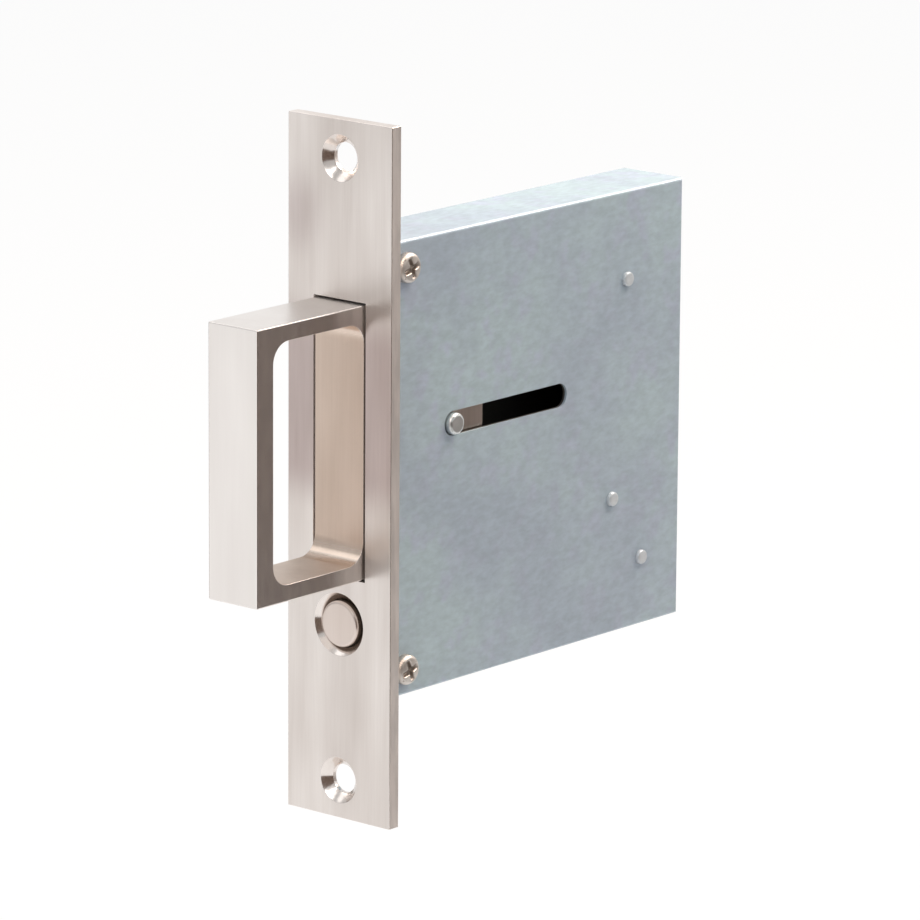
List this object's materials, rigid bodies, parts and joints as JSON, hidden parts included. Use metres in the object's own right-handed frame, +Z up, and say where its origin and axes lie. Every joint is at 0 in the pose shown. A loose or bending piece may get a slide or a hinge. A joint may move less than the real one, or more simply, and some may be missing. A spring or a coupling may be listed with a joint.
{
  "type": "pop-out edge pull",
  "caption": "Flush edge pull for a cavity sliding door: a sprung loop handle pops out of a slim faceplate, with a round release button and a folded sheet case behind.",
  "frame": {"origin": "centre of the faceplate's back face, midway between its two fixing holes", "axes": "+Z up along the faceplate, -Y out of the front face, +Y back along the case, +X the side with the case screws"},
  "size_m": [0.0252, 0.1211, 0.132],
  "materials": {
    "satin_nickel": "satin nickel plate, brushed along the height",
    "galvanised_sheet": "galvanised steel sheet, blue-grey and faintly mottled",
    "screw_nickel": "nickel-plated screw",
    "bright_steel": "bright turned steel",
    "plated_steel": "zinc-plated steel",
    "spring_steel": "drawn spring wire",
    "bar_brass": "milled brass bar"
  },
  "bodies": {
    "case": {"faceplate": "satin_nickel", "upper_lug": "plated_steel", "lower_lug": "plated_steel", "case_tray": "galvanised_sheet", "case_cover": "galvanised_sheet", "case_screws": "screw_nickel", "upper_post": "bright_steel", "pivot_post": "bright_steel", "bar_post": "bright_steel", "pivot_sleeves": "plated_steel", "bar_sleeves": "plated_steel", "ejector_spring_upper": "spring_steel", "ejector_spring_lower": "spring_steel", "spring_rod_upper": "bright_steel", "spring_rod_lower": "bright_steel", "button_spring": "spring_steel", "latch_spring": "spring_steel"},
    "pull": {"pull_handle": "satin_nickel", "guide_pin": "bright_steel"},
    "release": {"release_button": "satin_nickel", "release_bar": "bar_brass", "cross_pin": "bright_steel"},
    "latch": {"latch_pawl": "plated_steel"}
  },
  "joints": [
    {"name": "pull_slide", "type": "slide", "parent": "case", "child": "pull", "axis": [0, 1, 0], "range_m": [0, 0.0308], "stiffness_N_per_m": 240, "springref_m": -0.025, "deforming": ["ejector_spring_upper", "ejector_spring_lower"]},
    {"name": "button_press", "type": "slide", "parent": "case", "child": "release", "axis": [0, 1, 0], "range_m": [0, 0.0025], "stiffness_N_per_m": 500, "springref_m": -0.004, "deforming": ["button_spring", "latch_spring"]},
    {"name": "latch_pivot", "type": "hinge", "parent": "case", "child": "latch", "pos_m": [0, 0.068, -0.01655], "axis": [1, 0, 0], "range_deg": [0, 14.5]}
  ],
  "couplings": [
    {"joint": "latch_pivot", "follows": "button_press", "rad_per_m": 97.087}
  ]
}
